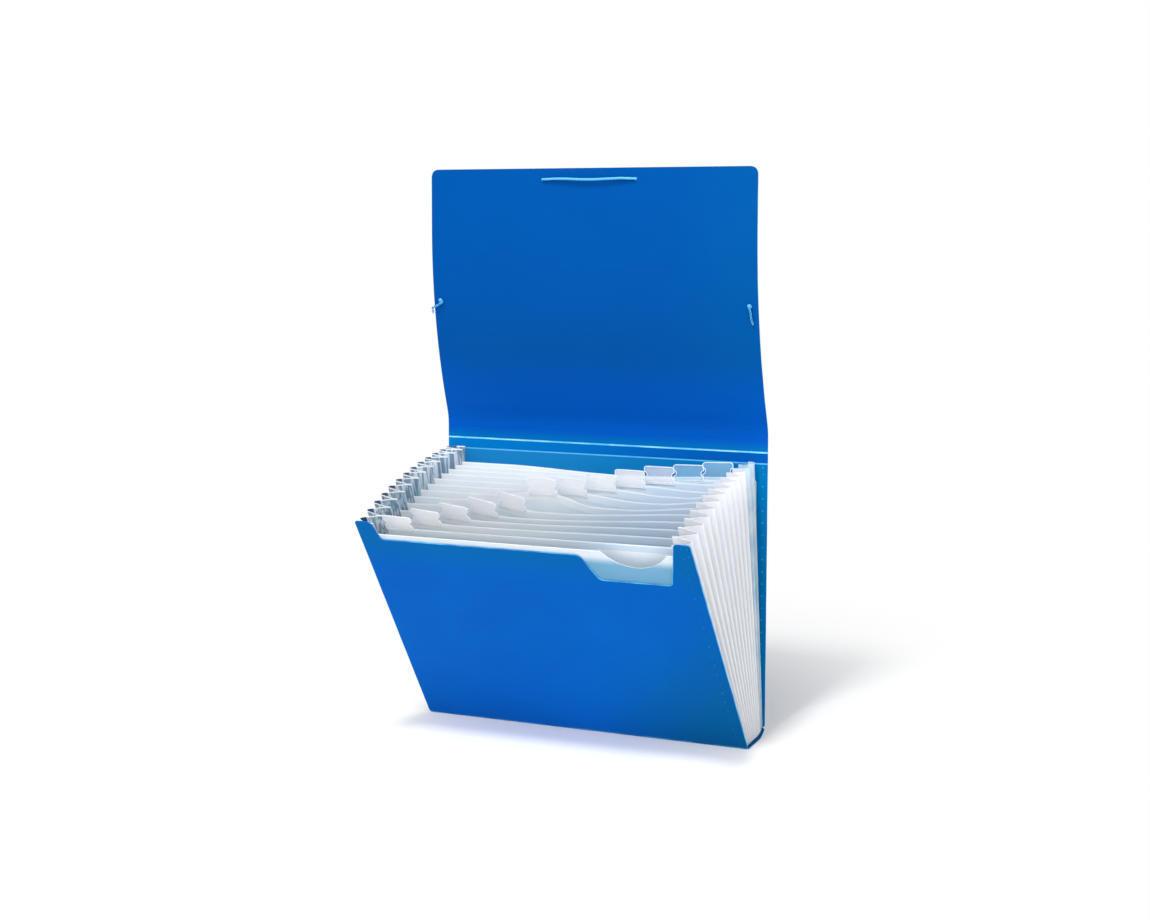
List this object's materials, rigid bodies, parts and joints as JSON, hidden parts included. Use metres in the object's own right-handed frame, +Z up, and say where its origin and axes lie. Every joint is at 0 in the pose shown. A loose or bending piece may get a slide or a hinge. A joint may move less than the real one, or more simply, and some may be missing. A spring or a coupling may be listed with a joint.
{
  "type": "expanding file",
  "caption": "Expanding A4 file in blue plastic, standing open: fan of clear pockets with index tabs, pleated sides, tall hinged lid with elastic cord.",
  "frame": {"origin": "centre of the flat part of the bottom spine that the file stands on", "axes": "+X along the width to the viewer's right, +Y from the front cover to the back cover, +Z up"},
  "size_m": [0.3333, 0.1811, 0.5085],
  "materials": {
    "blue_polypropylene": "satin",
    "blue_lid_polypropylene": "satin",
    "frosted_polypropylene": "satin",
    "clear_tab_plastic": "gloss",
    "blue_elastic": "matte"
  },
  "bodies": {
    "base": {"bottom_spine": "blue_polypropylene", "gusset_left": "frosted_polypropylene", "gusset_right": "frosted_polypropylene"},
    "divider_01": {"divider_01": "frosted_polypropylene", "index_tab_01": "clear_tab_plastic"},
    "divider_02": {"divider_02": "frosted_polypropylene", "index_tab_02": "clear_tab_plastic"},
    "divider_03": {"divider_03": "frosted_polypropylene", "index_tab_03": "clear_tab_plastic"},
    "divider_04": {"divider_04": "frosted_polypropylene", "index_tab_04": "clear_tab_plastic"},
    "divider_05": {"divider_05": "frosted_polypropylene", "index_tab_05": "clear_tab_plastic"},
    "divider_06": {"divider_06": "frosted_polypropylene", "index_tab_06": "clear_tab_plastic"},
    "divider_07": {"divider_07": "frosted_polypropylene", "index_tab_07": "clear_tab_plastic"},
    "divider_08": {"divider_08": "frosted_polypropylene", "index_tab_08": "clear_tab_plastic"},
    "divider_09": {"divider_09": "frosted_polypropylene", "index_tab_09": "clear_tab_plastic"},
    "divider_10": {"divider_10": "frosted_polypropylene", "index_tab_10": "clear_tab_plastic"},
    "divider_11": {"divider_11": "frosted_polypropylene", "index_tab_11": "clear_tab_plastic"},
    "divider_12": {"divider_12": "frosted_polypropylene", "index_tab_12": "clear_tab_plastic"},
    "front": {"front_cover": "blue_polypropylene", "front_wall": "frosted_polypropylene"},
    "back": {"back_cover": "blue_polypropylene", "back_wall": "frosted_polypropylene"},
    "lid_strip_1": {"lid_strip_1": "blue_lid_polypropylene"},
    "lid_strip_2": {"lid_strip_2": "blue_lid_polypropylene"},
    "lid_strip_3": {"lid_strip_3": "blue_lid_polypropylene"},
    "lid": {"lid_flap": "blue_lid_polypropylene", "elastic_cord": "blue_elastic", "cord_knot_left": "blue_elastic", "cord_knot_right": "blue_elastic"}
  },
  "joints": [
    {"name": "pocket_07_back_half", "type": "hinge", "parent": "base", "child": "divider_07", "pos_m": [0, 0.02657, 0.00616], "axis": [-1, 0, 0], "range_deg": [-1.27, 0.55]},
    {"name": "pocket_08_opening", "type": "hinge", "parent": "divider_07", "child": "divider_08", "pos_m": [0, 0.02657, 0.00616], "axis": [-1, 0, 0], "range_deg": [-2.54, 1.1], "deforming": ["gusset_left", "gusset_right"]},
    {"name": "pocket_09_opening", "type": "hinge", "parent": "divider_08", "child": "divider_09", "pos_m": [0, 0.02657, 0.00616], "axis": [-1, 0, 0], "range_deg": [-2.54, 1.1]},
    {"name": "pocket_10_opening", "type": "hinge", "parent": "divider_09", "child": "divider_10", "pos_m": [0, 0.02657, 0.00616], "axis": [-1, 0, 0], "range_deg": [-2.54, 1.1]},
    {"name": "pocket_11_opening", "type": "hinge", "parent": "divider_10", "child": "divider_11", "pos_m": [0, 0.02657, 0.00616], "axis": [-1, 0, 0], "range_deg": [-2.54, 1.1]},
    {"name": "pocket_12_opening", "type": "hinge", "parent": "divider_11", "child": "divider_12", "pos_m": [0, 0.02657, 0.00616], "axis": [-1, 0, 0], "range_deg": [-2.54, 1.1]},
    {"name": "pocket_13_opening", "type": "hinge", "parent": "divider_12", "child": "back", "pos_m": [0, 0.02657, 0.00616], "axis": [-1, 0, 0], "range_deg": [-2.54, 1.1]},
    {"name": "pocket_07_front_half", "type": "hinge", "parent": "base", "child": "divider_06", "pos_m": [0, -0.012, 0.0004], "axis": [1, 0, 0], "range_deg": [-1.27, 0.55]},
    {"name": "pocket_06_opening", "type": "hinge", "parent": "divider_06", "child": "divider_05", "pos_m": [0, -0.012, 0.0004], "axis": [1, 0, 0], "range_deg": [-2.54, 1.1]},
    {"name": "pocket_05_opening", "type": "hinge", "parent": "divider_05", "child": "divider_04", "pos_m": [0, -0.012, 0.0004], "axis": [1, 0, 0], "range_deg": [-2.54, 1.1]},
    {"name": "pocket_04_opening", "type": "hinge", "parent": "divider_04", "child": "divider_03", "pos_m": [0, -0.012, 0.0004], "axis": [1, 0, 0], "range_deg": [-2.54, 1.1]},
    {"name": "pocket_03_opening", "type": "hinge", "parent": "divider_03", "child": "divider_02", "pos_m": [0, -0.012, 0.0004], "axis": [1, 0, 0], "range_deg": [-2.54, 1.1]},
    {"name": "pocket_02_opening", "type": "hinge", "parent": "divider_02", "child": "divider_01", "pos_m": [0, -0.012, 0.0004], "axis": [1, 0, 0], "range_deg": [-2.54, 1.1]},
    {"name": "pocket_01_opening", "type": "hinge", "parent": "divider_01", "child": "front", "pos_m": [0, -0.012, 0.0004], "axis": [1, 0, 0], "range_deg": [-2.54, 1.1]},
    {"name": "lid_crease_1", "type": "hinge", "parent": "back", "child": "lid_strip_1", "pos_m": [0, 0.05997, 0.24383], "axis": [1, 0, 0], "range_deg": [-42, 24]},
    {"name": "lid_crease_2", "type": "hinge", "parent": "lid_strip_1", "child": "lid_strip_2", "pos_m": [0, 0.06136, 0.25373], "axis": [1, 0, 0], "range_deg": [-42, 24]},
    {"name": "lid_crease_3", "type": "hinge", "parent": "lid_strip_2", "child": "lid_strip_3", "pos_m": [0, 0.06276, 0.26363], "axis": [1, 0, 0], "range_deg": [-42, 24]},
    {"name": "lid_crease_4", "type": "hinge", "parent": "lid_strip_3", "child": "lid", "pos_m": [0, 0.06415, 0.27354], "axis": [1, 0, 0], "range_deg": [-42, 24]}
  ],
  "couplings": [
    {"joint": "pocket_07_back_half", "follows": "pocket_08_opening", "ratio": 0.5},
    {"joint": "pocket_09_opening", "follows": "pocket_08_opening", "ratio": 1},
    {"joint": "pocket_10_opening", "follows": "pocket_08_opening", "ratio": 1},
    {"joint": "pocket_11_opening", "follows": "pocket_08_opening", "ratio": 1},
    {"joint": "pocket_12_opening", "follows": "pocket_08_opening", "ratio": 1},
    {"joint": "pocket_13_opening", "follows": "pocket_08_opening", "ratio": 1},
    {"joint": "pocket_07_front_half", "follows": "pocket_08_opening", "ratio": 0.5},
    {"joint": "pocket_06_opening", "follows": "pocket_08_opening", "ratio": 1},
    {"joint": "pocket_05_opening", "follows": "pocket_08_opening", "ratio": 1},
    {"joint": "pocket_04_opening", "follows": "pocket_08_opening", "ratio": 1},
    {"joint": "pocket_03_opening", "follows": "pocket_08_opening", "ratio": 1},
    {"joint": "pocket_02_opening", "follows": "pocket_08_opening", "ratio": 1},
    {"joint": "pocket_01_opening", "follows": "pocket_08_opening", "ratio": 1}
  ]
}
